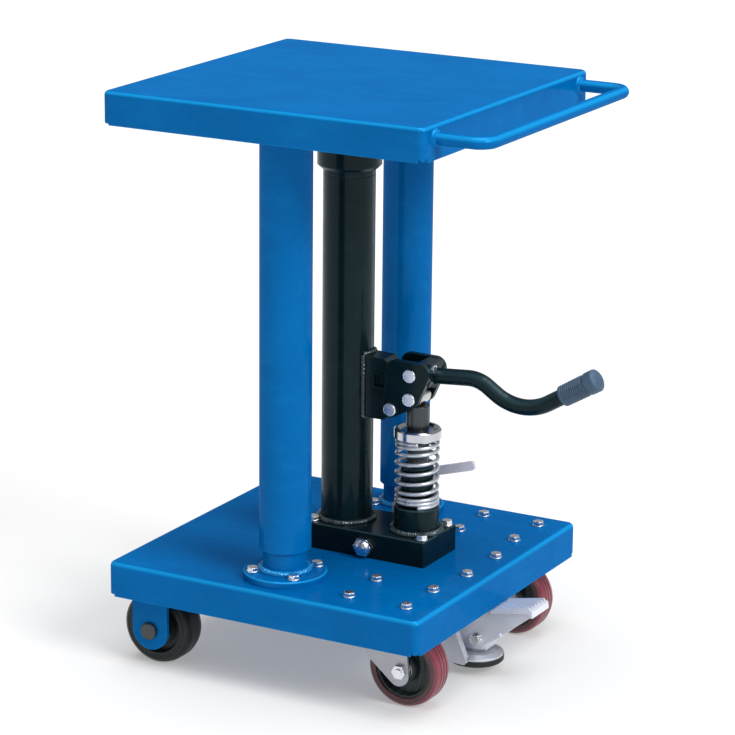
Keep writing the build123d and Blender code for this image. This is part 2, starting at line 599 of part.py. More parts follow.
HANDLE_X, HANDLE_Y, HANDLE_Z = 297.0, 200.0, 744.5
HANDLE_RADIUS, HANDLE_BEND = 8.0, 20.0
with BuildPart() as platform_handle:
    with BuildLine(Plane.XY.offset(HANDLE_Z)):
        loop = FilletPolyline(
            (HALF, -HANDLE_Y), (HANDLE_X, -HANDLE_Y), (HANDLE_X, HANDLE_Y), (HALF, HANDLE_Y),
            radius=HANDLE_BEND,
        )
    with BuildSketch(Plane(loop @ 0, z_dir=loop % 0)):
        Circle(HANDLE_RADIUS)
    sweep(path=loop)
    for side in (-1, 1):
        turn(
            [(0, 0), (HANDLE_RADIUS + 4, 0), (HANDLE_RADIUS + 2.6, 2.6), (HANDLE_RADIUS, 4), (0, 4)],
            (HALF, side * HANDLE_Y, HANDLE_Z), (1, 0, 0), (0, 0, 1),
        )
save(platform_handle, "platform_handle")

SLEEVE_FLANGE_RADIUS, SLEEVE_FLANGE = 50.0, 8.0
SLEEVE_BUSH_BOTTOM, SLEEVE_BUSH_LENGTH = 182.0, 30.0
with BuildPart() as guide_sleeves:
    for _, side in SIDES:
        turn_z(
            [(SLEEVE_BORE, SLEEVE_BOTTOM), (SLEEVE_RADIUS - 1.5, SLEEVE_BOTTOM),
             (SLEEVE_RADIUS, SLEEVE_BOTTOM + 1.5), (SLEEVE_RADIUS, PLATFORM_UNDER - SLEEVE_FLANGE),
             (SLEEVE_FLANGE_RADIUS, PLATFORM_UNDER - SLEEVE_FLANGE), (SLEEVE_FLANGE_RADIUS, PLATFORM_UNDER),
             (SLEEVE_BORE, PLATFORM_UNDER)],
            y=side * POST_Y,
        )
        turn_z(
            ring(SLEEVE_BORE, SLEEVE_BORE + 1, SLEEVE_BUSH_BOTTOM, SLEEVE_BUSH_BOTTOM + SLEEVE_BUSH_LENGTH),
            y=side * POST_Y, mode=Mode.SUBTRACT,
        )
save(guide_sleeves, "guide_sleeves")

with BuildPart() as sleeve_bushes:
    for _, side in SIDES:
        turn_z(
            ring(
                POST_RADIUS + FIT, SLEEVE_BORE + 1, SLEEVE_BUSH_BOTTOM,
                SLEEVE_BUSH_BOTTOM + SLEEVE_BUSH_LENGTH,
            ),
            y=side * POST_Y,
        )
save(sleeve_bushes, "sleeve_bushes")

RAM_PAD_RADIUS = 45.0
RAM_PISTON_RADIUS, RAM_PISTON_BOTTOM = 28.7, 196.0
SEAL_GROOVE, SEAL_Z = 3.5, 208.0
with BuildPart() as ram_pad:
    turn_z([(0, RAM_TOP), (RAM_PAD_RADIUS - 12, RAM_TOP), (RAM_PAD_RADIUS, RAM_TOP + 12),
            (RAM_PAD_RADIUS, PLATFORM_UNDER), (0, PLATFORM_UNDER)])
save(ram_pad, "ram_pad")

with BuildPart() as ram:
    turn_z(ring(0, RAM_RADIUS, RAM_BOTTOM, RAM_TOP))
save(ram, "ram")

with BuildPart() as ram_piston:
    turn_z(
        [(0, RAM_PISTON_BOTTOM), (RAM_PISTON_RADIUS, RAM_PISTON_BOTTOM), (RAM_PISTON_RADIUS, SEAL_Z),
         (RAM_PISTON_RADIUS - SEAL_GROOVE, SEAL_Z), (RAM_PISTON_RADIUS - SEAL_GROOVE, SEAL_Z + 6),
         (RAM_PISTON_RADIUS, SEAL_Z + 6), (RAM_PISTON_RADIUS, RAM_BOTTOM), (0, RAM_BOTTOM)]
    )
save(ram_piston, "ram_piston")

with BuildPart() as piston_seal:
    turn_z(ring(RAM_PISTON_RADIUS - SEAL_GROOVE, CYLINDER_BORE - FIT, SEAL_Z, SEAL_Z + 6))
save(piston_seal, "piston_seal")

# ---- swivel casters -----------------------------------------------------------------
SWIVEL_PLATE_X, SWIVEL_PLATE_Y = 104.0, 92.0
PLATE_BOTTOM = DECK_UNDER - PLATE_THICKNESS
RACE_RADIUS, RACE_BOTTOM = 28.0, 127.0
BALL_RADIUS, BALL_PITCH, BALL_COUNT = 2.9, 24.0, 14
BALL_Z = (RACE_BOTTOM + FORK_TOP) / 2
KINGPIN_FLANGE_TOP = 114.7
WHEEL_X = SWIVEL_X + SWIVEL_TRAIL
FORK_LEG = [
    (WHEEL_X - 3, 44.0, 14.5), (SWIVEL_X - 11, 66.0, 9.0),
    (SWIVEL_X - 22, FORK_TOP - 8, 4.0), (SWIVEL_X + 30, FORK_TOP - 8, 4.0),
]
HUB_RADIUS, HUB_BORE = 39.0, 13.0
TREAD_GROOVE = 1.2

with BuildPart() as caster_plates:
    for _, side in SIDES:
        with BuildSketch(Plane.XY.offset(DECK_UNDER)):
            with Locations((SWIVEL_X, side * SWIVEL_Y)):
                RectangleRounded(SWIVEL_PLATE_X, SWIVEL_PLATE_Y, 8)
        extrude(amount=-PLATE_THICKNESS)
        turn_z(
            [(0, RACE_BOTTOM), (RACE_RADIUS - 2, RACE_BOTTOM), (RACE_RADIUS, PLATE_BOTTOM),
             (0, PLATE_BOTTOM)],
            SWIVEL_X, side * SWIVEL_Y,
        )
    drill_z(CASTER_BOLTS, M8["hole"], DECK_UNDER, PLATE_THICKNESS)
    drill_z([(SWIVEL_X, side * SWIVEL_Y) for _, side in SIDES], KINGPIN_RADIUS, DECK_UNDER, 20)
save(caster_plates, "caster_plates")

with BuildPart() as caster_kingpins:
    for _, side in SIDES:
        turn_z(
            [(0, KINGPIN_FLANGE_TOP - 4), (9, KINGPIN_FLANGE_TOP - 4), (10, KINGPIN_FLANGE_TOP - 3),
             (10, KINGPIN_FLANGE_TOP), (KINGPIN_RADIUS, KINGPIN_FLANGE_TOP), (KINGPIN_RADIUS, DECK_UNDER),
             (0, DECK_UNDER)],
            SWIVEL_X, side * SWIVEL_Y,
        )
save(caster_kingpins, "caster_kingpins")

with BuildPart() as caster_balls:
    for _, side in SIDES:
        with Locations((SWIVEL_X, side * SWIVEL_Y, BALL_Z)):
            with PolarLocations(BALL_PITCH, BALL_COUNT):
                Sphere(BALL_RADIUS)
save(caster_balls, "caster_balls")

for name, side in SIDES:
    centre = side * SWIVEL_Y
    with BuildPart() as fork:
        for low, high in both_sides(FORK_INNER, FORK_OUTER, centre):
            hull_plate(FORK_LEG, low, high)
        with BuildSketch(Plane.XY.offset(FORK_TOP)):
            with Locations((SWIVEL_X + 4, centre)):
                Rectangle(60, 2 * FORK_OUTER)
        extrude(amount=-5)
        turn_z(ring(RACE_RADIUS + 1, RACE_RADIUS + 4, FORK_TOP - 5, RACE_BOTTOM + 1), SWIVEL_X, centre)
        drill_z([(SWIVEL_X, centre)], KINGPIN_RADIUS + FIT, FORK_TOP, 6)
        pin_hole(WHEEL_X, WHEEL_RADIUS, AXLE_RADIUS)
    save(fork, f"caster_fork_{name}")

    # The bolt's head faces outwards; two flanged sleeves centre the wheel in the fork.
    with BuildPart() as axle:
        pin(WHEEL_X, WHEEL_RADIUS, AXLE_RADIUS, centre - FORK_OUTER - 8, centre + FORK_OUTER + 8)
        for direction in (-1, 1):
            with BuildSketch(Plane.XZ.offset(-(centre + direction * FORK_OUTER))):
                with Locations((WHEEL_X, WHEEL_RADIUS)):
                    RegularPolygon(8.5, 6, major_radius=False)
            extrude(amount=-direction * 6)
        for low, high in both_sides(SWIVEL_WHEEL_HALF - 1, FORK_INNER, centre):
            turn_y(ring(AXLE_RADIUS, 9, low, high), WHEEL_X, WHEEL_RADIUS)
    save(axle, f"caster_axle_{name}")

    with BuildPart() as hub:
        turn_y(
            [(HUB_BORE, centre - 17), (HUB_BORE + 4, centre - 17), (HUB_BORE + 6, centre - 7),
             (HUB_RADIUS - 6, centre - 7), (HUB_RADIUS - 4, centre - 16), (HUB_RADIUS, centre - 16),
             (HUB_RADIUS, centre + 16), (HUB_RADIUS - 4, centre + 16), (HUB_RADIUS - 6, centre + 7),
             (HUB_BORE + 6, centre + 7), (HUB_BORE + 4, centre + 17), (HUB_BORE, centre + 17)],
            WHEEL_X, WHEEL_RADIUS,
        )
    save(hub, f"caster_hub_{name}")

    with BuildPart() as bearings:
        for low, high in both_sides(9, 17, centre):
            turn_y(ring(AXLE_RADIUS + FIT, HUB_BORE, low, high), WHEEL_X, WHEEL_RADIUS)
        chamfer(bearings.edges().filter_by(GeomType.CIRCLE).filter_by(
            lambda edge: abs(edge.radius - HUB_BORE) < 0.01), 0.4)
    save(bearings, f"caster_bearings_{name}")

    with BuildPart() as tread:
        turn_y(
            [(HUB_RADIUS, centre - 18), (WHEEL_RADIUS - 5, centre - 18), (WHEEL_RADIUS - 1.5, centre - 15),
             (WHEEL_RADIUS, centre - 9), (WHEEL_RADIUS, centre + 9), (WHEEL_RADIUS - 1.5, centre + 15),
             (WHEEL_RADIUS - 5, centre + 18), (HUB_RADIUS, centre + 18)],
            WHEEL_X, WHEEL_RADIUS,
        )
        for offset_y in (-7, 0, 7):
            turn_y(
                [(WHEEL_RADIUS - TREAD_GROOVE, centre + offset_y - 0.6),
                 (WHEEL_RADIUS + 1, centre + offset_y - 1.2),
                 (WHEEL_RADIUS + 1, centre + offset_y + 1.2),
                 (WHEEL_RADIUS - TREAD_GROOVE, centre + offset_y + 0.6)],
                WHEEL_X, WHEEL_RADIUS, mode=Mode.SUBTRACT,
            )
    save(tread, f"caster_tread_{name}")

# ---- rigid casters ------------------------------------------------------------------
EAR_HALF = 26.0
with BuildPart() as rigid_brackets:
    for _, side in SIDES:
        centre = side * RIGID_Y
        for low, high in both_sides(RIGID_EAR_INNER, RIGID_EAR_OUTER, centre):
            with BuildSketch(Plane.XZ.offset(-low)):
                with Locations((RIGID_X, WHEEL_RADIUS)):
                    Circle(EAR_HALF)
                with Locations((RIGID_X, (WHEEL_RADIUS + DECK_UNDER) / 2)):
                    Rectangle(2 * EAR_HALF, DECK_UNDER - WHEEL_RADIUS)
            extrude(amount=low - high)
        with BuildSketch(Plane.XY.offset(DECK_UNDER)):
            with Locations((RIGID_X, centre)):
                Rectangle(2 * EAR_HALF, 2 * RIGID_EAR_OUTER)
        extrude(amount=-PLATE_THICKNESS)
    pin_hole(RIGID_X, WHEEL_RADIUS, RIGID_AXLE_RADIUS)
save(rigid_brackets, "rigid_brackets")

AXLE_HEAD_RADIUS = 11.5
with BuildPart() as rigid_axles:
    for _, side in SIDES:
        centre = side * RIGID_Y
        outer = centre + side * RIGID_EAR_OUTER
        inner = centre - side * RIGID_EAR_OUTER
        turn_y(
            [(0, inner - side * 6), (9, inner - side * 6), (9, inner), (RIGID_AXLE_RADIUS, inner),
             (RIGID_AXLE_RADIUS, outer), (AXLE_HEAD_RADIUS, outer), (AXLE_HEAD_RADIUS, outer + side * 4),
             (AXLE_HEAD_RADIUS - 1.5, outer + side * 5.5), (0, outer + side * 5.5)],
            RIGID_X, WHEEL_RADIUS,
        )
        for low, high in both_sides(RIGID_WHEEL_HALF + 2, RIGID_EAR_INNER, centre):
            turn_y(ring(RIGID_AXLE_RADIUS, 10, low, high), RIGID_X, WHEEL_RADIUS)
save(rigid_axles, "rigid_axles")

RIGID_DISH_RADIUS = 35.0
for name, side in SIDES:
    centre = side * RIGID_Y
    with BuildPart() as wheel:
        turn_y(
            [(RIGID_AXLE_RADIUS + FIT, centre - 20), (13, centre - 20), (15, centre - 10),
             (RIGID_DISH_RADIUS - 3, centre - 10), (RIGID_DISH_RADIUS, centre - 19),
             (WHEEL_RADIUS - 6, centre - 19), (WHEEL_RADIUS - 2, centre - 16),
             (WHEEL_RADIUS, centre - 9), (WHEEL_RADIUS, centre + 9), (WHEEL_RADIUS - 2, centre + 16),
             (WHEEL_RADIUS - 6, centre + 19), (RIGID_DISH_RADIUS, centre + 19),
             (RIGID_DISH_RADIUS - 3, centre + 10), (15, centre + 10), (13, centre + 20),
             (RIGID_AXLE_RADIUS + FIT, centre + 20)],
            RIGID_X, WHEEL_RADIUS,
        )
    save(wheel, f"rigid_wheel_{name}")

# ---- floor lock ---------------------------------------------------------------------
LOCK_PLATE_REAR, LOCK_PLATE_FRONT, LOCK_PLATE_HALF = 119.0, 214.0, 50.0
LOCK_GUIDE_LOW, LOCK_GUIDE_HIGH = 92.0, 112.0
LOCK_PIN_RADIUS = 5.0

LOCK_CHEEK = [(143, 132), (156, 132), (203, 22), (199, 18), (168, 20), (150, 60), (143, 100)]
LOCK_LIP = [(156, 132), (201, 27), (197, 27), (152, 132)]  # turned-in front edge of each cheek
LOCK_LIP_INNER = 33.0
LOCK_PEDAL = [
    (156, 80), (156, 71), (165, 63), (184, 42), (192, 35), (216, 36.5), (217.5, 41), (221.5, 46),
    (229, 50), (239, 57), (256, 71), (283, 92), (283, 99.5), (226, 90), (165, 85),
]
LOCK_TREAD = [(226, 88.5), (281, 98.5), (283, 92.5), (287, 92.5), (286.5, 101), (283.5, 103), (226, 92.5)]
LOCK_RIDGE = [(233, 93), (282, 102), (282, 105), (280, 105.2), (233, 96.3)]
LOCK_TREAD_HALF, LOCK_RIDGES, LOCK_RIDGE_PITCH, LOCK_RIDGE_HALF = 24.0, 6, 8.6, 1.4
LOCK_STOP, LOCK_STOP_RADIUS = (239.0, 60.0), 3.0
LOCK_YOKE_REAR, LOCK_YOKE_FRONT, LOCK_YOKE_HALF = 178.0, 217.0, 16.0
LOCK_SLOT_REAR, LOCK_SLOT_FRONT, LOCK_SLOT_HALF = 187.5, 212.0, 6.0

with BuildPart() as lock_bracket:
    with BuildSketch(Plane.XY.offset(DECK_UNDER)):
        with Locations(((LOCK_PLATE_REAR + LOCK_PLATE_FRONT) / 2, 0)):
            Rectangle(LOCK_PLATE_FRONT - LOCK_PLATE_REAR, 2 * LOCK_PLATE_HALF)
    extrude(amount=-PLATE_THICKNESS)
    for low, high in both_sides(LOCK_CHEEK_INNER, LOCK_CHEEK_OUTER):
        outline_plate(LOCK_CHEEK, low, high)
    for low, high in both_sides(LOCK_LIP_INNER, LOCK_CHEEK_OUTER):
        outline_plate(LOCK_LIP, low, high)
    with BuildSketch(Plane.XY.offset(LOCK_GUIDE_LOW)):
        with Locations(((150 + LOCK_X + 15) / 2, 0)):
            Rectangle(LOCK_X + 15 - 150, 2 * LOCK_CHEEK_INNER)
    extrude(amount=PLATE_THICKNESS)
    turn_z(ring(0, LOCK_STEM_RADIUS + 4, LOCK_GUIDE_LOW, LOCK_GUIDE_HIGH), LOCK_X)
    drill_z([(LOCK_X, 0)], LOCK_STEM_RADIUS + FIT, LOCK_GUIDE_HIGH, LOCK_GUIDE_HIGH - LOCK_GUIDE_LOW)
    drill_z(LOCK_BOLTS + BLOCK_BOLTS[:2], M8["hole"], DECK_UNDER, PLATE_THICKNESS)
    pin_hole(*LOCK_PIVOT, LOCK_PIN_RADIUS)
save(lock_bracket, "lock_bracket")

with BuildPart() as lock_pivot_pin:
    turn_y(
        [(0, LOCK_CHEEK_OUTER + 3), (LOCK_PIN_RADIUS + 3, LOCK_CHEEK_OUTER + 3),
         (LOCK_PIN_RADIUS + 3, LOCK_CHEEK_OUTER), (LOCK_PIN_RADIUS, LOCK_CHEEK_OUTER),
         (LOCK_PIN_RADIUS, -LOCK_CHEEK_OUTER), (LOCK_PIN_RADIUS + 3, -LOCK_CHEEK_OUTER),
         (LOCK_PIN_RADIUS + 3, -LOCK_CHEEK_OUTER - 3), (0, -LOCK_CHEEK_OUTER - 3)],
        *LOCK_PIVOT,
    )
save(lock_pivot_pin, "lock_pivot_pin")

with BuildPart() as lock_pedal:
    for low, high in both_sides(LOCK_PEDAL_INNER, LOCK_PEDAL_OUTER):
        outline_plate(LOCK_PEDAL, low, high)
    outline_plate(LOCK_TREAD, -LOCK_TREAD_HALF, LOCK_TREAD_HALF)
    for ridge in range(LOCK_RIDGES):
        centre = (ridge - (LOCK_RIDGES - 1) / 2) * LOCK_RIDGE_PITCH
        outline_plate(LOCK_RIDGE, centre - LOCK_RIDGE_HALF, centre + LOCK_RIDGE_HALF)
    pin(*LOCK_STOP, LOCK_STOP_RADIUS, -LOCK_PEDAL_OUTER - 2, LOCK_PEDAL_OUTER + 2)
    pin_hole(*LOCK_PIVOT, LOCK_PIN_RADIUS + FIT)
    pin_hole(*LOCK_DRIVE, LOCK_PIN_RADIUS)
save(lock_pedal, "lock_pedal")

DRIVE_WASHER, DRIVE_WASHER_RADIUS, DRIVE_HEAD, DRIVE_FLATS = 1.5, 9.0, 5.0, 13.0
with BuildPart() as lock_drive_pin:
    turn_y(
        [(0, LOCK_PEDAL_OUTER + 4), (LOCK_PIN_RADIUS + 3, LOCK_PEDAL_OUTER + 4),
         (LOCK_PIN_RADIUS + 3, LOCK_PEDAL_OUTER), (LOCK_PIN_RADIUS, LOCK_PEDAL_OUTER),
         (LOCK_PIN_RADIUS, -LOCK_PEDAL_OUTER), (DRIVE_WASHER_RADIUS, -LOCK_PEDAL_OUTER),
         (DRIVE_WASHER_RADIUS, -LOCK_PEDAL_OUTER - DRIVE_WASHER), (0, -LOCK_PEDAL_OUTER - DRIVE_WASHER)],
        *LOCK_DRIVE,
    )
    with BuildSketch(Plane.XZ.offset(LOCK_PEDAL_OUTER + DRIVE_WASHER)):
        with Locations(LOCK_DRIVE):
            RegularPolygon(DRIVE_FLATS / 2, 6, major_radius=False)
    extrude(amount=DRIVE_HEAD)
save(lock_drive_pin, "lock_drive_pin")

with BuildPart() as lock_stem:
    turn_z(
        [(0, LOCK_PAD_TOP), (LOCK_PAD_RADIUS - 1, LOCK_PAD_TOP), (LOCK_PAD_RADIUS - 1, LOCK_PAD_TOP + 3),
         (LOCK_PAD_RADIUS - 8, LOCK_PAD_TOP + 7), (LOCK_PAD_RADIUS - 20, LOCK_PAD_TOP + 9),
         (LOCK_PAD_RADIUS - 22, LOCK_PAD_TOP + 14), (0, LOCK_PAD_TOP + 14)],
        LOCK_X,
    )
    with BuildSketch(Plane.XY.offset(LOCK_PAD_TOP + 12)):
        with Locations(((LOCK_YOKE_REAR + LOCK_YOKE_FRONT) / 2, 0)):
            Rectangle(LOCK_YOKE_FRONT - LOCK_YOKE_REAR, 2 * LOCK_YOKE_HALF)
    extrude(amount=27)
    with BuildSketch(Plane.XZ):
        with Locations(((LOCK_SLOT_REAR + LOCK_SLOT_FRONT) / 2, LOCK_DRIVE[1])):
            SlotOverall(LOCK_SLOT_FRONT - LOCK_SLOT_REAR, 2 * LOCK_SLOT_HALF)
    extrude(amount=TABLE, both=True, mode=Mode.SUBTRACT)
    turn_z(ring(0, LOCK_STEM_RADIUS, 59, LOCK_GUIDE_HIGH + 12), LOCK_X)
save(lock_stem, "lock_stem")

with BuildPart() as lock_pad:
    turn_z(
        [(0, LOCK_PAD_BOTTOM), (LOCK_PAD_RADIUS - 2, LOCK_PAD_BOTTOM), (LOCK_PAD_RADIUS, LOCK_PAD_BOTTOM + 2),
         (LOCK_PAD_RADIUS, LOCK_PAD_TOP), (0, LOCK_PAD_TOP)],
        LOCK_X,
    )
save(lock_pad, "lock_pad")
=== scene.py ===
"""Looks of the two-post hydraulic lift table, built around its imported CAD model."""
import json
import math

import bpy
import bmesh
from mathutils import Matrix, Vector, noise


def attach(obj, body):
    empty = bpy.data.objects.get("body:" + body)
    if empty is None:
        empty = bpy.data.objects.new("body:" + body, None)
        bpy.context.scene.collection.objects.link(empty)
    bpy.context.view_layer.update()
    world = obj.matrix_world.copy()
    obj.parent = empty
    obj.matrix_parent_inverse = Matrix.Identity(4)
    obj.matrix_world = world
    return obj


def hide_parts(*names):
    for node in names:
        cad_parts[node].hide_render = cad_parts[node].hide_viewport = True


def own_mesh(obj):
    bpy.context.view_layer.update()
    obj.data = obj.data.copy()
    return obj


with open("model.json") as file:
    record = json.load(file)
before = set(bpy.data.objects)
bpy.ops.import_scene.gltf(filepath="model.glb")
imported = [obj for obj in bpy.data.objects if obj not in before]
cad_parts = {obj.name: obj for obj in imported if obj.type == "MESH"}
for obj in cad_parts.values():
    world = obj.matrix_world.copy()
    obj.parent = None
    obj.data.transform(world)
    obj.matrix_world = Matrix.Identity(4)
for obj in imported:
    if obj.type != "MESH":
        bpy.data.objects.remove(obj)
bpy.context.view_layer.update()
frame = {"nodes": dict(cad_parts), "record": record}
NODES = frame["nodes"]
MM = 0.001
UP, ALONG_X, ALONG_Y = Vector((0, 0, 1)), Vector((1, 0, 0)), Vector((0, 1, 0))
EDGE_ROUNDING = 0.9 * MM            # how far every shaded edge is softened


# ---- materials ----------------------------------------------------------------------
class Shader:
    """A node material with a Principled shader, and short calls to wire patterns into it."""

    def __init__(self, name):
        self.material = bpy.data.materials.new(name)
        self.material.use_nodes = True
        self.tree = self.material.node_tree
        self.principled = self.tree.nodes["Principled BSDF"]
        self.coordinates = self.tree.nodes.new("ShaderNodeTexCoord").outputs["Object"]
        self.rounded = self.node("Bevel", samples=6)
        self.rounded.inputs["Radius"].default_value = EDGE_ROUNDING

    def node(self, kind, **settings):
        """A new shader node of a kind, with attributes set from the keywords."""
        made = self.tree.nodes.new("ShaderNode" + kind)
        for key, value in settings.items():
            setattr(made, key, value)
        return made

    def link(self, source, target):
        self.tree.links.new(source, target)

    def noise(self, size, detail=4.0, roughness=0.55, stretch=(1, 1, 1)):
        """Noise with features of about `size` metres, stretched by a factor on each axis."""
        mapping = self.node("Mapping")
        mapping.inputs["Scale"].default_value = [1 / s for s in stretch]
        texture = self.node("TexNoise")
        texture.inputs["Scale"].default_value = 1 / size
        texture.inputs["Detail"].default_value = detail
        texture.inputs["Roughness"].default_value = roughness
        self.link(self.coordinates, mapping.inputs["Vector"])
        self.link(mapping.outputs["Vector"], texture.inputs["Vector"])
        return texture.outputs["Fac"]

    def ramp(self, value, low, high, out_low=0.0, out_high=1.0):
        """Map value from low..high to out_low..out_high, clamped."""
        made = self.node("MapRange")
        for key, number in zip(("From Min", "From Max", "To Min", "To Max"), (low, high, out_low, out_high)):
            made.inputs[key].default_value = number
        self.link(value, made.inputs["Value"])
        return made.outputs["Result"]

    def math(self, operation, first, second):
        """A Math node on two sockets or numbers."""
        made = self.node("Math", operation=operation)
        for socket, value in zip(made.inputs, (first, second)):
            if isinstance(value, (int, float)):
                socket.default_value = value
            else:
                self.link(value, socket)
        return made.outputs[0]

    def mix(self, factor, first, second):
        """Mix two colours (RGB triples or sockets) by a socket."""
        made = self.node("Mix", data_type="RGBA")
        self.link(factor, made.inputs["Factor"])
        colour_a, colour_b = made.inputs[6], made.inputs[7]
        for socket, value in ((colour_a, first), (colour_b, second)):
            if isinstance(value, (tuple, list)):
                socket.default_value = (*value, 1)
            else:
                self.link(value, socket)
        return made.outputs[2]

    def distance_from_axle(self, x, z):
        """Distance from an axle parallel to Y through (x, z), in metres."""
        offset = self.node("VectorMath", operation="SUBTRACT")
        offset.inputs[1].default_value = (x, 0, z)
        flat = self.node("VectorMath", operation="MULTIPLY")
        flat.inputs[1].default_value = (1, 0, 1)
        length = self.node("VectorMath", operation="LENGTH")
        self.link(self.coordinates, offset.inputs[0])
        self.link(offset.outputs["Vector"], flat.inputs[0])
        self.link(flat.outputs["Vector"], length.inputs[0])
        return length.outputs["Value"]

    def rings(self, x, z, pitch):
        """0..1 waves of radius round an axle: moulding and turning rings on a wheel's side."""
        phase = self.math("MULTIPLY", self.distance_from_axle(x, z), 2 * math.pi / pitch)
        return self.ramp(self.math("SINE", phase, 0), -1, 1)

    def bends(self):
        """1 where the surface slopes between level and upright, as on a rolled sheet edge."""
        normal = self.node("SeparateXYZ")
        self.link(self.tree.nodes["Texture Coordinate"].outputs["Normal"], normal.inputs["Vector"])
        rise = self.ramp(normal.outputs["Z"], 0.10, 0.55)
        return self.math("MULTIPLY", rise, self.ramp(normal.outputs["Z"], 0.97, 0.80))

    def sides(self):
        """1 on faces that look along Y, such as the sides of a wheel, 0 on its running surface."""
        normal = self.node("SeparateXYZ")
        self.link(self.tree.nodes["Texture Coordinate"].outputs["Normal"], normal.inputs["Vector"])
        return self.ramp(self.math("ABSOLUTE", normal.outputs["Y"], 0), 0.55, 0.95)

    def edges(self, radius):
        """1 along the outer edges of the piece within about `radius` metres, 0 on its faces."""
        bevel = self.node("Bevel", samples=4)
        bevel.inputs["Radius"].default_value = radius
        geometry = self.node("NewGeometry")
        dot = self.node("VectorMath", operation="DOT_PRODUCT")
        self.link(bevel.outputs["Normal"], dot.inputs[0])
        self.link(geometry.outputs["Normal"], dot.inputs[1])
        return self.ramp(dot.outputs["Value"], 1.0, 0.9)

    def bump(self, height, distance, strength=1.0, under=None):
        """Bump the surface by a 0..1 height of `distance` metres, on top of the bump `under` if given."""
        made = self.node("Bump")
        made.inputs["Distance"].default_value = distance
        made.inputs["Strength"].default_value = strength
        self.link(height, made.inputs["Height"])
        self.link(self.rounded.outputs["Normal"] if under is None else under, made.inputs["Normal"])
        self.link(made.outputs["Normal"], self.principled.inputs["Normal"])
        return made.outputs["Normal"]

    def set(self, **values):
        """Set or wire inputs of the Principled shader; underscores stand for spaces."""
        for key, value in values.items():
            socket = self.principled.inputs[key.replace("_", " ")]
            if isinstance(value, bpy.types.NodeSocket):
                self.link(value, socket)
            elif isinstance(value, (tuple, list)) and len(value) == 3:
                socket.default_value = (*value, 1)
            else:
                socket.default_value = value


def powder_coat(name, deep, light, streak_and_highlight, sheen, roughness, specular, coat, peel=1.0):
    """Thick glossy paint: slight tone drift, orange peel and faint marks, with painted highlights on the
    bends and along the edges.
    """
    s = Shader(name)
    drift = s.ramp(s.noise(size=0.11, detail=3), 0.3, 0.7)
    colour = s.mix(drift, deep, light)
    streaks = s.ramp(s.noise(size=0.02, detail=6, roughness=0.65, stretch=(4, 1, 1)), 0.5, 0.8)
    colour = s.mix(s.math("MULTIPLY", streaks, 0.14), colour, streak_and_highlight)
    patchy = s.ramp(s.noise(size=0.02, detail=6), 0.3, 0.7, out_low=0.35)
    # painted highlight along the outer edges, broken up into patches
    painted_edge_highlight = s.math("MULTIPLY", s.edges(radius=0.0018), patchy)
    colour = s.mix(s.math("MULTIPLY", painted_edge_highlight, 0.8), colour, streak_and_highlight)
    # painted highlight on the sloping faces of the bends, where a rolled edge would catch the light
    colour = s.mix(s.math("MULTIPLY", s.bends(), 0.7), colour, streak_and_highlight)
    smudge = s.ramp(s.noise(size=0.035, detail=6, roughness=0.65), 0.35, 0.75,
                    out_low=roughness - 0.04, out_high=roughness + 0.1)
    s.set(Base_Color=colour, Roughness=smudge, Metallic=0.1, IOR=1.5, Specular_IOR_Level=specular,
          Specular_Tint=sheen, Coat_Weight=coat, Coat_Roughness=0.1)
    peel_bump = s.bump(s.noise(size=0.0035, detail=2, roughness=0.4), 0.12 * MM * peel, 0.5)
    s.bump(s.noise(size=0.03, detail=3, roughness=0.5), 0.8 * MM * peel, 0.12, under=peel_bump)
    return s.material


def zinc_plate(name, tone, roughness, cloud=0.35, metallic=1.0):
    """Bright zinc plating: clouded passivation, a fine grain, small dull spots and brighter edges."""
    s = Shader(name)
    clouds = s.ramp(s.noise(size=0.022, detail=6, roughness=0.6), 0.3, 0.75)
    warm = tuple(c * k for c, k in zip(tone, (0.80, 0.79, 0.78)))
    colour = s.mix(s.math("MULTIPLY", clouds, cloud), tone, warm)
    spots = s.ramp(s.noise(size=0.0035, detail=5, roughness=0.7), 0.62, 0.72)
    colour = s.mix(s.math("MULTIPLY", spots, 0.35), colour, tuple(c * 0.55 for c in tone))
    bright = tuple(min(1, c * 1.3) for c in tone)
    colour = s.mix(s.math("MULTIPLY", s.edges(radius=0.0012), 0.6), colour, bright)
    handled = s.ramp(s.noise(size=0.012, detail=6, roughness=0.65), 0.3, 0.7,
                     out_low=roughness - 0.07, out_high=roughness + 0.1)
    rough = s.math("ADD", handled, s.math("MULTIPLY", spots, 0.15))
    s.set(Base_Color=colour, Roughness=rough, Metallic=metallic)
    grain = s.bump(s.noise(size=0.0012, detail=3, roughness=0.6), 0.06 * MM, 0.5)
    s.bump(s.noise(size=0.02, detail=3), 0.5 * MM, 0.15, under=grain)
    return s.material


GRINDING_LINES = (1, 1, 30)         # stretch that draws noise out into upright lines


def steel(name, tone, roughness, metallic=1.0):
    """Machined steel with fine upright grinding lines and an oil film."""
    s = Shader(name)
    film = s.ramp(s.noise(size=0.03, detail=5), 0.35, 0.7)
    colour = s.mix(film, tone, tuple(c * 0.86 for c in tone))
    rough = s.ramp(s.noise(size=0.01, detail=5), 0.3, 0.7, out_low=roughness, out_high=roughness + 0.06)
    s.set(Base_Color=colour, Metallic=metallic, Roughness=rough)
    s.bump(s.noise(size=0.004, detail=3, roughness=0.5, stretch=GRINDING_LINES), 0.015 * MM, 0.25)
    return s.material


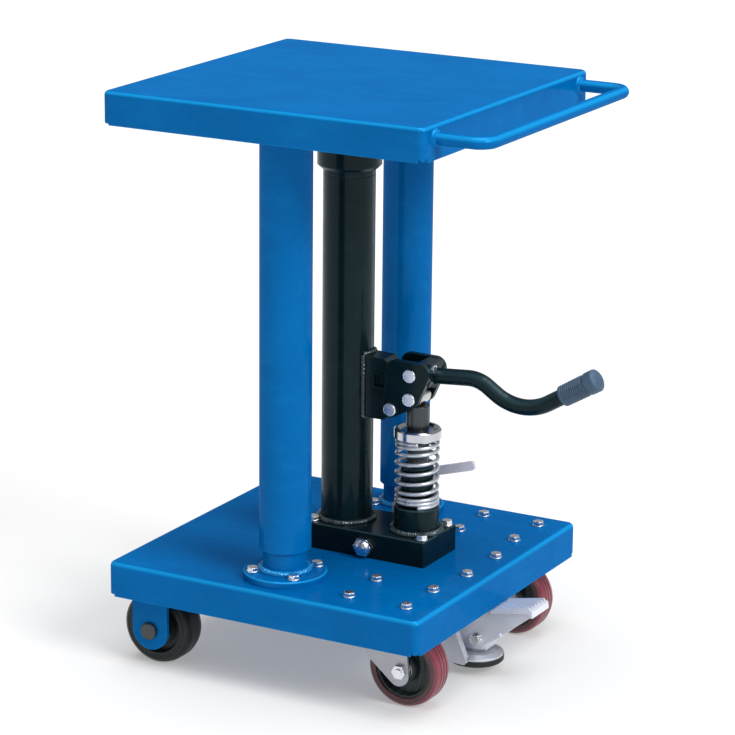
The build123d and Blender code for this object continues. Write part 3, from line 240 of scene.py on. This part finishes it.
def moulded(name, dark, light, roughness, grain, depth, coat=0.0,
            axle=None, pitch=None, rise=None, wall=None):
    """Rubber or plastic: mottled tone, scuffs and a fine grain; rings round an axle and darker, mottled side
    walls.
    """
    s = Shader(name)
    tone = s.mix(s.ramp(s.noise(size=0.03, detail=5), 0.3, 0.7), dark, light)
    scuffs = s.ramp(s.noise(size=0.008, detail=7, roughness=0.75), 0.58, 0.78)
    tone = s.mix(s.math("MULTIPLY", scuffs, 0.3), tone, tuple(min(1, c * 2.4 + 0.02) for c in light))
    if wall is not None:
        wall_mottle = s.ramp(s.noise(size=0.02, detail=5), 0.25, 0.75, out_low=0.75)
        tone = s.mix(s.math("MULTIPLY", s.sides(), wall_mottle), tone, wall)
    rough = s.ramp(s.noise(size=0.015, detail=5), 0.3, 0.7,
                   out_low=roughness - 0.06, out_high=roughness + 0.08)
    under = None
    if axle is not None:
        waves = s.rings(*axle, pitch)
        crests = s.ramp(waves, 0.72, 1.0, out_high=0.5)
        tone = s.mix(crests, tone, tuple(min(1, c * 1.9 + 0.01) for c in light))
        under = s.bump(waves, rise, 0.8)
    s.set(Base_Color=tone, Roughness=rough, Metallic=0.0, IOR=1.5, Specular_IOR_Level=0.35,
          Coat_Weight=coat, Coat_Roughness=0.2)
    fine = s.bump(s.noise(size=grain, detail=3, roughness=0.6), depth, 0.6, under)
    s.bump(s.noise(size=0.012, detail=4), depth * 4, 0.15, under=fine)
    return s.material


FRONT_AXLE, REAR_AXLE = (0.123, 0.05), (-0.1744, 0.05)       # x and z of the wheel axles
# the third colour of each paint is for pale streaks and for the painted highlights on edges and bends
BLUE_DEEP, BLUE_LIGHT, BLUE_STREAK_AND_HIGHLIGHT = (0.0002, 0.116, 0.362), (0.0002, 0.136, 0.410), (0.010, 0.30, 0.68)
BLACK_DEEP, BLACK_LIGHT, BLACK_STREAK_AND_HIGHLIGHT = (0.0022, 0.009, 0.011), (0.0035, 0.013, 0.016), (0.03, 0.06, 0.07)
BLUE_SHEEN, BLACK_SHEEN = (0.03, 0.50, 1.0), (0.45, 0.90, 1.0)
MATERIALS = {
    "blue_paint": powder_coat(
        "blue_powder_coat", BLUE_DEEP, BLUE_LIGHT, BLUE_STREAK_AND_HIGHLIGHT, BLUE_SHEEN,
        roughness=0.26, specular=0.0, coat=0.09),
    "black_paint": powder_coat(
        "black_enamel", BLACK_DEEP, BLACK_LIGHT, BLACK_STREAK_AND_HIGHLIGHT, BLACK_SHEEN,
        roughness=0.27, specular=0.10, coat=0.16, peel=1.4),
    "zinc": zinc_plate("zinc_plate", (0.64, 0.66, 0.73), roughness=0.38, metallic=0.62),
    "fastener_zinc": zinc_plate("zinc_fasteners", (0.80, 0.82, 0.86), roughness=0.26, cloud=0.2),
    "hard_chrome": steel("hard_chrome", (0.60, 0.61, 0.64), roughness=0.15),
    "phosphated_steel": steel("dark_oiled_steel", (0.075, 0.085, 0.09), roughness=0.34, metallic=0.9),
    "spring_steel": zinc_plate("spring_zinc", (0.66, 0.68, 0.72), roughness=0.32, cloud=0.15, metallic=0.75),
    "bearing_steel": steel("ground_steel", (0.56, 0.56, 0.57), roughness=0.22),
    "bronze": steel("oiled_bronze", (0.50, 0.33, 0.15), roughness=0.3),
    "nylon": moulded(
        "natural_nylon", (0.62, 0.59, 0.50), (0.70, 0.67, 0.58),
        roughness=0.45, grain=0.002, depth=0.02 * MM),
    "seal": moulded(
        "seal_polyurethane", (0.03, 0.05, 0.16), (0.04, 0.07, 0.20),
        roughness=0.4, grain=0.002, depth=0.02 * MM),
    "polyurethane": moulded(
        "maroon_polyurethane", (0.19, 0.030, 0.048), (0.25, 0.042, 0.066),
        roughness=0.34, grain=0.0015, depth=0.04 * MM, coat=0.15, wall=(0.075, 0.040, 0.044)),
    "black_plastic": moulded(
        "black_wheel_core", (0.008, 0.015, 0.017), (0.016, 0.026, 0.028),
        roughness=0.38, grain=0.0015, depth=0.04 * MM, coat=0.1,
        axle=FRONT_AXLE, pitch=0.009, rise=0.6 * MM),
    "black_wheel": moulded(
        "black_wheel_rubber", (0.003, 0.006, 0.007), (0.006, 0.010, 0.011),
        roughness=0.46, grain=0.0014, depth=0.05 * MM, coat=0.03,
        axle=REAR_AXLE, pitch=0.0085, rise=0.6 * MM),
    "rubber": moulded(
        "black_foot_rubber", (0.008, 0.010, 0.011), (0.015, 0.018, 0.019),
        roughness=0.5, grain=0.0012, depth=0.06 * MM),
    "grip": moulded(
        "slate_vinyl", (0.040, 0.078, 0.130), (0.058, 0.105, 0.170),
        roughness=0.5, grain=0.0011, depth=0.15 * MM),
}

# paint on the weld beads, glossier so that the ripples catch the light
WELD_MATERIALS = {
    "blue_paint": powder_coat(
        "blue_painted_weld", BLUE_DEEP, BLUE_LIGHT, BLUE_STREAK_AND_HIGHLIGHT, (0.25, 0.75, 1.0),
        roughness=0.16, specular=0.9, coat=0.3, peel=2.0),
    "black_paint": powder_coat(
        "black_painted_weld", BLACK_DEEP, BLACK_LIGHT, BLACK_STREAK_AND_HIGHLIGHT, (0.8, 0.95, 1.0),
        roughness=0.14, specular=1.0, coat=0.6, peel=2.0),
}

# pieces whose finish differs from the rest of their slot
FORK_ZINC = zinc_plate("stamped_fork_zinc", (0.43, 0.44, 0.48), roughness=0.36, cloud=0.5, metallic=0.7)
NODE_MATERIALS = {
    "caster_fork_near": FORK_ZINC,
    "caster_fork_far": FORK_ZINC,
    "release_lever": zinc_plate(
        "release_lever_zinc", (0.84, 0.85, 0.96), roughness=0.42, cloud=0.15, metallic=0.25),
    "lock_pedal": zinc_plate(
        "lock_pedal_zinc", (0.76, 0.80, 0.90), roughness=0.36, cloud=0.3, metallic=0.45),
    "spring_cap": steel("turned_cap_steel", (0.60, 0.61, 0.65), roughness=0.17),
}

for entry in frame["record"]["subparts"]:
    node = NODES[entry["node"]]
    node.data.materials.clear()
    finish = NODE_MATERIALS.get(entry["node"], MATERIALS[entry["material_slot"]])
    node.data.materials.append(finish)


# ---- pieces made here ------------------------------------------------------------------
def add_mesh(name, points, faces, material_slot, body):
    """A new mesh object on a CAD body, in the finish of one of the record's slots."""
    mesh = bpy.data.meshes.new(name)
    mesh.from_pydata([tuple(p) for p in points], [], faces)
    mesh.polygons.foreach_set("use_smooth", [True] * len(faces))
    mesh.materials.append(MATERIALS[material_slot])
    mesh.update()
    piece = bpy.data.objects.new(name, mesh)
    bpy.context.scene.collection.objects.link(piece)
    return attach(piece, body)


def sweep(route, radii, up, sides, closed=False):
    """Points and faces of a round bar along a route, with one radius per point of the route."""
    points, faces = [], []
    count = len(route)
    for k, place in enumerate(route):
        before = route[k - 1] if k or closed else route[0]
        after = route[(k + 1) % count] if k + 1 < count or closed else route[-1]
        tangent = (after - before).normalized()
        side = tangent.cross(up).normalized()
        over = side.cross(tangent)
        for m in range(sides):
            turn = 2 * math.pi * m / sides
            points.append(place + (side * math.cos(turn) + over * math.sin(turn)) * radii[k])
    for k in range(count if closed else count - 1):
        low, high = k * sides, (k + 1) % count * sides
        for m in range(sides):
            n = (m + 1) % sides
            faces.append((low + m, low + n, high + n, high + m))
    if not closed:
        faces.append(tuple(reversed(range(sides))))
        faces.append(tuple(range((count - 1) * sides, count * sides)))
    return points, faces


ROUTE_STEP = 0.45 * MM              # spacing of the points along a weld
BEAD_VALLEY, BEAD_CREST, BEAD_UNEVEN = 0.80, 0.28, 0.14     # shares of the bead's radius
BEAD_DRIFT = 0.25 * MM              # how far the bead strays up or down
BEAD_SIDES = 12


def weld_bead(name, route, radius, ripple, material_slot, body, up, closed=True):
    """A hand-laid weld: overlapping scallops every `ripple` metres, a little uneven."""
    radii, places = [], []
    travelled = 0.0
    for k, place in enumerate(route):
        if k:
            travelled += (place - route[k - 1]).length
        scallop = (travelled / ripple) % 1.0
        wander = noise.noise(place * 260)
        radii.append(radius * (BEAD_VALLEY + BEAD_CREST * math.sqrt(1 - scallop) + BEAD_UNEVEN * wander))
        drift = noise.noise(place * 180 + Vector((7, 3, 1)))
        places.append(place + UP * BEAD_DRIFT * drift)
    points, faces = sweep(places, radii, up, BEAD_SIDES, closed)
    bead = add_mesh(name, points, faces, material_slot, body)
    bead.data.materials[0] = WELD_MATERIALS[material_slot]
    return bead


def circle(centre, radius, normal):
    """Evenly spaced points of a circle about an axis parallel to X or Z."""
    count = int(2 * math.pi * radius / ROUTE_STEP)
    first, second = (ALONG_Y, UP) if normal == "X" else (ALONG_X, ALONG_Y)
    angles = [2 * math.pi * k / count for k in range(count)]
    return [Vector(centre) + (first * math.cos(a) + second * math.sin(a)) * radius for a in angles]


def straight(start, end):
    """Evenly spaced points of a straight line."""
    start, end = Vector(start), Vector(end)
    count = int((end - start).length / ROUTE_STEP)
    return [start.lerp(end, k / count) for k in range(count + 1)]


PUMP_X = 0.1045
BLOCK_WELD_HEIGHT, FLANGE_WELD_HEIGHT = 0.1772, 0.1522
CYLINDER_WELD_RADIUS, PUMP_WELD_RADIUS, POST_WELD_RADIUS = 0.0350, 0.0310, 0.0295
POST_Y = 0.1609
HANDLE_ROOT, HANDLE_WELD_RADIUS = (0.2284, 0.200, 0.7445), 0.0086
BRACKET_SIDE_X, BRACKET_SIDE_Y = 0.0312, 0.0155
BRACKET_SIDE_SPAN = (0.3225, 0.4055)
BRACKET_ARC_RADIUS, BRACKET_ARC_HALF_ANGLE, BRACKET_ARC_STEPS = 0.0345, 27, 60
BRACKET_ARC_TOP, BRACKET_ARC_BOTTOM = 0.4062, 0.3218
CYLINDER_BEAD, PUMP_BEAD, POST_BEAD, HANDLE_BEAD = 0.0046, 0.0048, 0.0056, 0.0026    # radii
BRACKET_SIDE_BEAD, BRACKET_ARC_BEAD = 0.0034, 0.0036
RIPPLE, POST_RIPPLE, HANDLE_RIPPLE = 0.0030, 0.0034, 0.0022     # spacing of the scallops


def welds():
    """Beads where tubes and plates are welded."""
    route = circle((0, 0, BLOCK_WELD_HEIGHT), CYLINDER_WELD_RADIUS, "Z")
    weld_bead("weld_cylinder_foot", route, CYLINDER_BEAD, RIPPLE, "black_paint", "chassis", UP)
    route = circle((PUMP_X, 0, BLOCK_WELD_HEIGHT), PUMP_WELD_RADIUS, "Z")
    weld_bead("weld_pump_foot", route, PUMP_BEAD, RIPPLE, "black_paint", "chassis", UP)
    for name, side in (("near", -1), ("far", 1)):
        route = circle((0, side * POST_Y, FLANGE_WELD_HEIGHT), POST_WELD_RADIUS, "Z")
        weld_bead(f"weld_post_foot_{name}", route, POST_BEAD, POST_RIPPLE, "blue_paint", "chassis", UP)
        x, y, z = HANDLE_ROOT
        route = circle((x, side * y, z), HANDLE_WELD_RADIUS, "X")
        weld_bead(f"weld_handle_{name}", route, HANDLE_BEAD, HANDLE_RIPPLE, "blue_paint", "lift", ALONG_X)
        route = straight(*((BRACKET_SIDE_X, side * BRACKET_SIDE_Y, z) for z in BRACKET_SIDE_SPAN))
        weld_bead(f"weld_bracket_{name}", route, BRACKET_SIDE_BEAD, RIPPLE, "black_paint", "chassis",
                  ALONG_Y, closed=False)
    for name, height in (("top", BRACKET_ARC_TOP), ("bottom", BRACKET_ARC_BOTTOM)):
        route = []
        for k in range(BRACKET_ARC_STEPS + 1):
            a = math.radians(BRACKET_ARC_HALF_ANGLE * (2 * k / BRACKET_ARC_STEPS - 1))
            route.append(Vector((BRACKET_ARC_RADIUS * math.cos(a), BRACKET_ARC_RADIUS * math.sin(a), height)))
        weld_bead(f"weld_bracket_{name}", route, BRACKET_ARC_BEAD, RIPPLE, "black_paint", "chassis",
                  UP, closed=False)


SPRING_MEAN, SPRING_WIRE = 0.02675, 0.0025      # radius of the coils and of the wire
SPRING_FOOT, SPRING_CAP = 0.210, 0.3009         # heights of the two seats
CLOSED_BELOW, OPEN_TURNS, CLOSED_ABOVE = 2, 4, 1
SPRING_START = math.radians(-61.2)              # where the wire starts round the pump
SPRING_STEPS, SPRING_SIDES = 64, 16             # points in a turn and round the wire


def coil_heights():
    """Height of the wire after each turn: closed, one easing turn, open, one easing turn, closed."""
    closed = 2 * SPRING_WIRE
    climb = SPRING_CAP - SPRING_FOOT - 2 * SPRING_WIRE
    wide = (climb - (CLOSED_BELOW + CLOSED_ABOVE + 1) * closed) / (OPEN_TURNS + 1)
    easing = (closed + wide) / 2
    rises = [closed] * CLOSED_BELOW + [easing] + [wide] * OPEN_TURNS + [easing] + [closed] * CLOSED_ABOVE
    heights = [SPRING_FOOT + SPRING_WIRE]
    for rise in rises:
        heights.append(heights[-1] + rise)
    return heights


def pump_spring():
    """The return spring: closed ends and open coils between."""
    heights = coil_heights()
    route = []
    for k in range(SPRING_STEPS * (len(heights) - 1) + 1):
        turn, part = divmod(k / SPRING_STEPS, 1.0)
        low = heights[int(turn)]
        high = heights[min(int(turn) + 1, len(heights) - 1)]
        angle = SPRING_START + 2 * math.pi * k / SPRING_STEPS
        route.append(Vector((PUMP_X + SPRING_MEAN * math.cos(angle), SPRING_MEAN * math.sin(angle),
                             low + (high - low) * part)))
    points, faces = sweep(route, [SPRING_WIRE] * len(route), UP, SPRING_SIDES)
    spring = add_mesh("pump_return_spring", points, faces, "spring_steel", "chassis")
    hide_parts("pump_spring")
    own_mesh(spring)


GRIP_END, GRIP_DIRECTION = Vector((0.356, 0, 0.4149)), Vector((0.103, 0, 0.0628)).normalized()
# distances along the grip from the end of the bar: heel, start of the knob, tip of the nose
GRIP_START, GRIP_KNOB, GRIP_NOSE = -0.053, -0.0135, 0.0050
GRIP_RADIUS, GRIP_FLARE = 0.0133, 0.0006        # radius at the heel, and how much wider the nose is
COLLAR_LENGTH, COLLAR_RISE = 0.004, 0.0006
RIB_PITCH, RIB_RISE, RIB_STOP = 0.0031, 0.0006, 0.002
KNOB_RISE, KNOB_EASING = 0.0012, 0.002
NOSE_LENGTH, NOSE_SQUEEZE, NOSE_POWER = 0.006, 0.86, 2.4
HEEL_LENGTH, HEEL_DROP = 0.0015, 0.0012
FLUTES, FLUTE_DEPTH = 12, 0.00022
GRIP_SIDES, GRIP_STEPS = 72, 220                # points round the grip and along it


def grip_radius(along):
    """Radius of the grip at a distance along it, before the flutes."""
    radius = GRIP_RADIUS + GRIP_FLARE * (along - GRIP_START) / (GRIP_NOSE - GRIP_START)
    if along < GRIP_START + COLLAR_LENGTH:
        radius += COLLAR_RISE
    elif along < GRIP_KNOB - RIB_STOP:
        radius += RIB_RISE * math.sin(2 * math.pi * along / RIB_PITCH)
    elif along > GRIP_KNOB:
        radius += KNOB_RISE * min(1.0, (along - GRIP_KNOB) / KNOB_EASING)
    nose = max(0.0, (along - (GRIP_NOSE - NOSE_LENGTH)) / NOSE_LENGTH)
    radius *= math.sqrt(max(0.0, 1 - NOSE_SQUEEZE * nose ** NOSE_POWER))
    heel = max(0.0, (GRIP_START + HEEL_LENGTH - along) / HEEL_LENGTH)
    return radius - HEEL_DROP * heel * heel


def foot_grip():
    """The moulded vinyl sleeve on the pedal bar: close finger ribs, a collar and a domed end."""
    sides, steps = GRIP_SIDES, GRIP_STEPS
    across = ALONG_Y
    over = across.cross(GRIP_DIRECTION)
    points, faces = [], []
    for k in range(steps + 1):
        along = GRIP_START + (GRIP_NOSE - GRIP_START) * k / steps
        radius = grip_radius(along)
        fluted = GRIP_START + COLLAR_LENGTH < along < GRIP_KNOB
        for m in range(sides):
            turn = 2 * math.pi * m / sides
            flute = FLUTE_DEPTH * math.cos(FLUTES * turn) if fluted else 0.0
            offset = (across * math.cos(turn) + over * math.sin(turn)) * (radius + flute)
            points.append(GRIP_END + GRIP_DIRECTION * along + offset)
    for k in range(steps):
        for m in range(sides):
            n = (m + 1) % sides
            faces.append((k * sides + m, k * sides + n, (k + 1) * sides + n, (k + 1) * sides + m))
    faces.append(tuple(range(sides)))
    faces.append(tuple(reversed(range(steps * sides, (steps + 1) * sides))))
    grip = add_mesh("foot_pedal_grip", points, faces, "grip", "foot_lever")
    bm = bmesh.new()
    bm.from_mesh(grip.data)
    bmesh.ops.recalc_face_normals(bm, faces=bm.faces)
    bm.to_mesh(grip.data)
    bm.free()
    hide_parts("pedal_grip")


welds()
pump_spring()
foot_grip()


# ---- floor, light and camera --------------------------------------------------------
def sun_light(name, toward, strength, angle):
    """A wide soft light at infinity, shining from the direction `toward`."""
    data = bpy.data.lights.new(name, "SUN")
    data.energy = strength
    data.angle = math.radians(angle)
    lamp = bpy.data.objects.new(name, data)
    bpy.context.scene.collection.objects.link(lamp)
    lamp.rotation_euler = Vector(toward).to_track_quat("Z", "Y").to_euler()


FLOOR_HALF_WIDTH = 30.0
FLOOR_GLOW = 0.29                   # keeps the floor white under light soft enough for the paint


def studio_floor():
    """A wide pale floor."""
    half = FLOOR_HALF_WIDTH
    mesh = bpy.data.meshes.new("studio_floor")
    corners = [(-half, -half, 0), (half, -half, 0), (half, half, 0), (-half, half, 0)]
    mesh.from_pydata(corners, [], [(0, 1, 2, 3)])
    floor = bpy.data.objects.new("studio_floor", mesh)
    bpy.context.scene.collection.objects.link(floor)
    s = Shader("studio_white")
    patches = s.ramp(s.noise(size=1.5, detail=2), 0.3, 0.7)
    s.set(Base_Color=s.mix(patches, (0.54, 0.54, 0.54), (0.56, 0.56, 0.56)),
          Roughness=0.85, Specular_IOR_Level=0.1, Emission_Color=(1, 1, 1), Emission_Strength=FLOOR_GLOW)
    mesh.materials.append(s.material)


CAMERA_AZIMUTH, CAMERA_ELEVATION, CAMERA_ROLL = 28.798, 15.727, -0.56       # degrees
CAMERA_PLACE = (1.9422, -3.4802, 1.5027)
CAMERA_LENS, CAMERA_SENSOR = 155.3, 36.0        # millimetres
CAMERA_REACH = 60


def camera():
    """The view three quarters from the front and a little above."""
    azimuth, elevation, roll = (math.radians(a) for a in (CAMERA_AZIMUTH, CAMERA_ELEVATION, CAMERA_ROLL))
    back = Vector((math.sin(azimuth) * math.cos(elevation), -math.cos(azimuth) * math.cos(elevation),
                   math.sin(elevation)))
    right = Vector((math.cos(azimuth), math.sin(azimuth), 0))
    up = back.cross(right)
    level = Matrix((right, up, back)).transposed()
    data = bpy.data.cameras.new("photo_view")
    data.lens = CAMERA_LENS
    data.sensor_width = CAMERA_SENSOR
    data.clip_end = CAMERA_REACH
    view = bpy.data.objects.new("photo_view", data)
    bpy.context.scene.collection.objects.link(view)
    rolled = level @ Matrix.Rotation(-roll, 3, "Z")
    view.matrix_world = Matrix.Translation(CAMERA_PLACE) @ rolled.to_4x4()
    bpy.context.scene.camera = view


SURROUND = 0.33                     # strength of the even light from all sides


def lights():
    """A pale surround, a key light from the front right and a broad light overhead."""
    world = bpy.data.worlds.new("studio")
    bpy.context.scene.world = world
    world.use_nodes = True
    background = world.node_tree.nodes["Background"]
    background.inputs["Color"].default_value = (1, 1, 1, 1)
    background.inputs["Strength"].default_value = SURROUND
    sun_light("key", (0.85, -0.22, 0.62), strength=1.95, angle=26)
    sun_light("top", (0.05, -0.02, 1.0), strength=2.5, angle=50)


camera()
lights()
studio_floor()
bpy.context.scene.view_settings.view_transform = "Standard"
